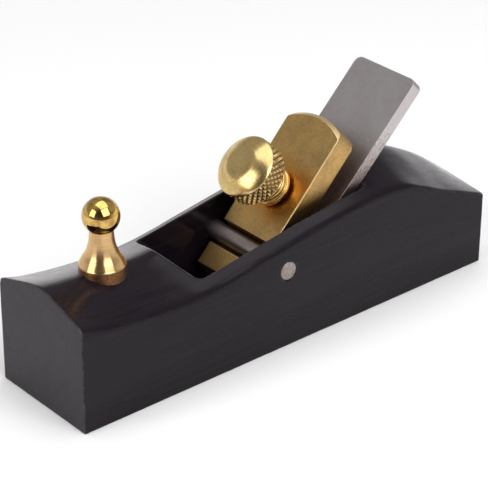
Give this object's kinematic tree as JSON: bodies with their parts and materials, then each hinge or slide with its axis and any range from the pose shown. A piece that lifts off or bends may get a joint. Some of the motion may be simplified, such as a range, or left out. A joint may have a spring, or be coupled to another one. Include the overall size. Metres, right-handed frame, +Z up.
{
  "type": "hand plane",
  "caption": "Small gabled-top ebony hand plane with a bedded steel iron, brass lever cap on a cross pin, knurled brass clamp screw and turned brass front knob.",
  "frame": {"origin": "centre of the sole, on the plane's resting face", "axes": "+X runs from the toe (front) to the heel, +Y across the stock, +Z up"},
  "size_m": [0.12, 0.03, 0.052],
  "materials": {
    "ebony": "satin near-black ebony with fine pores and a faint brown-violet grain",
    "pin_steel": "dull dark steel, ends filed flush",
    "iron_steel": "matte ground grey with pitted edges",
    "cap_brass": "fine-sanded satin brass with polished edges",
    "screw_brass": "turned satin brass, knurled edge",
    "stud_steel": "plain threaded steel",
    "knob_brass": "polished ball over a satin turned foot"
  },
  "bodies": {
    "stock": {"body": "ebony", "cross_pin": "pin_steel", "front_knob": "knob_brass", "knob_stud": "stud_steel"},
    "iron": {"iron": "iron_steel"},
    "cap": {"lever_cap": "cap_brass"},
    "screw": {"thumb_screw_stud": "stud_steel"},
    "screw_knob": {"thumb_screw_head": "screw_brass"}
  },
  "joints": [
    {"name": "iron_slide", "type": "slide", "parent": "stock", "child": "iron", "axis": [0.7071, 0, 0.7071], "range_m": [-0.0005, 0.03]},
    {"name": "cap_tilt", "type": "hinge", "parent": "stock", "child": "cap", "pos_m": [-0.0025, 0, 0.0194], "axis": [0, 1, 0], "range_deg": [0, 6.8]},
    {"name": "screw_travel", "type": "slide", "parent": "cap", "child": "screw", "axis": [-0.7302, 0, 0.6833], "range_m": [0, 0.00175]},
    {"name": "screw_turn", "type": "hinge", "parent": "screw", "child": "screw_knob", "pos_m": [0.00761, 0, 0.03021], "axis": [-0.7302, 0, 0.6833], "range_deg": [0, 900]}
  ],
  "couplings": [
    {"joint": "screw_turn", "follows": "screw_travel", "rad_per_m": 8975.9},
    {"joint": "cap_tilt", "follows": "screw_travel", "rad_per_m": 67.568}
  ]
}
